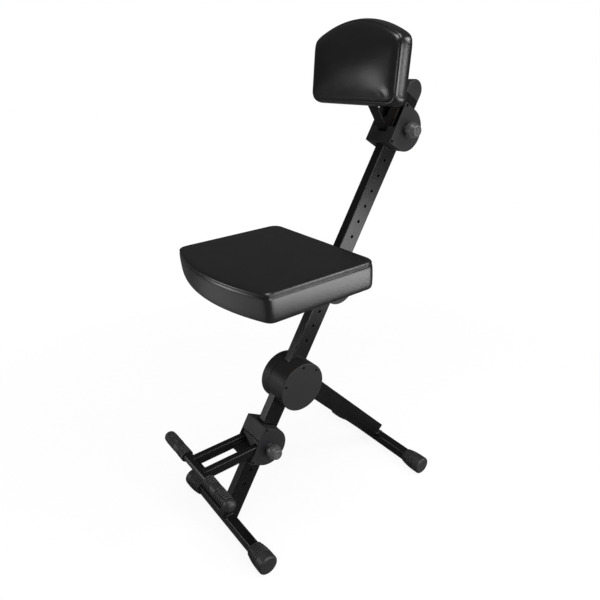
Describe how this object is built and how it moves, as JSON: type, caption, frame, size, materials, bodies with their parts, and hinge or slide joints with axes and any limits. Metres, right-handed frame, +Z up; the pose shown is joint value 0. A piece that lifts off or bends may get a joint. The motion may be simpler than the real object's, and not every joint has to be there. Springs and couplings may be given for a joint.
{
  "type": "musician stool",
  "caption": "Folding musician stool: leaning mast with index holes, hinged rear leg, and a footrest, seat and backrest on locking carriages that slide on the mast.",
  "frame": {"origin": "on the floor, in the middle of the stool's outer box", "axes": "+Z up, the sitter faces -Y, the lock knobs are on the +X side"},
  "size_m": [0.376, 0.6869, 1.1704],
  "materials": {
    "frame_paint": "black powder coat, satin",
    "cover_plastic": "dark grey moulded plastic, fine texture",
    "knob_plastic": "near-black moulded plastic, satin",
    "rubber": "dark grey rubber, matt",
    "glide_plastic": "natural nylon",
    "zinc_steel": "zinc plated",
    "black_screws": "blackened steel screws",
    "plywood": "raw plywood",
    "upholstery": "black coated upholstery cloth over foam, semi-gloss"
  },
  "bodies": {
    "mast": {"mast_tube": "frame_paint", "mast_top_cap": "cover_plastic", "front_crossbar": "frame_paint", "front_foot_left": "rubber", "front_foot_right": "rubber", "hub_plate_left": "frame_paint", "hub_plate_right": "frame_paint", "hub_cover_left": "cover_plastic", "hub_cover_right": "cover_plastic", "hub_cover_screws": "black_screws", "pivot_bolt": "zinc_steel", "pivot_nut": "zinc_steel", "leg_stop": "frame_paint"},
    "rear_leg": {"rear_leg_tube": "frame_paint", "rear_leg_bush": "zinc_steel", "rear_crossbar": "frame_paint", "rear_foot_left": "rubber", "rear_foot_right": "rubber"},
    "footrest": {"footrest_carriage": "frame_paint", "footrest_glides": "glide_plastic", "footrest_cover_left": "cover_plastic", "footrest_cover_right": "cover_plastic", "footrest_front_wall": "cover_plastic", "footrest_cover_screws": "black_screws", "footrest_lock_bushing": "zinc_steel", "footrest_lock_spring": "zinc_steel", "foot_bar": "frame_paint", "foot_grip_left": "rubber", "foot_grip_right": "rubber"},
    "footrest_knob": {"footrest_lock_knob": "knob_plastic", "footrest_lock_pin": "zinc_steel"},
    "seat": {"seat_carriage": "frame_paint", "seat_glides": "glide_plastic", "seat_cover_left": "cover_plastic", "seat_cover_right": "cover_plastic", "seat_front_wall": "cover_plastic", "seat_cover_screws": "black_screws", "seat_lock_bushing": "zinc_steel", "seat_lock_spring": "zinc_steel", "seat_board": "plywood", "seat_bolts": "zinc_steel", "seat_cushion": "upholstery"},
    "seat_knob": {"seat_lock_knob": "knob_plastic", "seat_lock_pin": "zinc_steel"},
    "backrest": {"backrest_carriage": "frame_paint", "backrest_glides": "glide_plastic", "backrest_cover_left": "cover_plastic", "backrest_cover_right": "cover_plastic", "backrest_front_wall": "cover_plastic", "backrest_cover_screws": "black_screws", "backrest_lock_bushing": "zinc_steel", "backrest_lock_spring": "zinc_steel", "backrest_board": "plywood", "backrest_bolts": "zinc_steel", "backrest_pad": "upholstery"},
    "backrest_knob": {"backrest_lock_knob": "knob_plastic", "backrest_lock_pin": "zinc_steel"}
  },
  "joints": [
    {"name": "rear_leg_fold", "type": "hinge", "parent": "mast", "child": "rear_leg", "pos_m": [0, -0.02448, 0.33815], "axis": [1, 0, 0], "range_deg": [-73.5, 0]},
    {"name": "footrest_slide", "type": "slide", "parent": "mast", "child": "footrest", "axis": [0, 0.5, 0.866], "range_m": [-0.12, 0.04]},
    {"name": "seat_slide", "type": "slide", "parent": "mast", "child": "seat", "axis": [0, 0.5, 0.866], "range_m": [-0.12, 0.12]},
    {"name": "backrest_slide", "type": "slide", "parent": "mast", "child": "backrest", "axis": [0, 0.5, 0.866], "range_m": [-0.2, 0.04]},
    {"name": "footrest_knob_pull", "type": "slide", "parent": "footrest", "child": "footrest_knob", "axis": [1, 0, 0], "range_m": [-0.004, 0], "deforming": ["footrest_lock_spring"]},
    {"name": "seat_knob_pull", "type": "slide", "parent": "seat", "child": "seat_knob", "axis": [1, 0, 0], "range_m": [0, 0.004], "stiffness_N_per_m": 700, "springref_m": -0.006, "deforming": ["seat_lock_spring"]},
    {"name": "backrest_knob_pull", "type": "slide", "parent": "backrest", "child": "backrest_knob", "axis": [1, 0, 0], "range_m": [0, 0.004], "stiffness_N_per_m": 700, "springref_m": -0.006, "deforming": ["backrest_lock_spring"]}
  ]
}
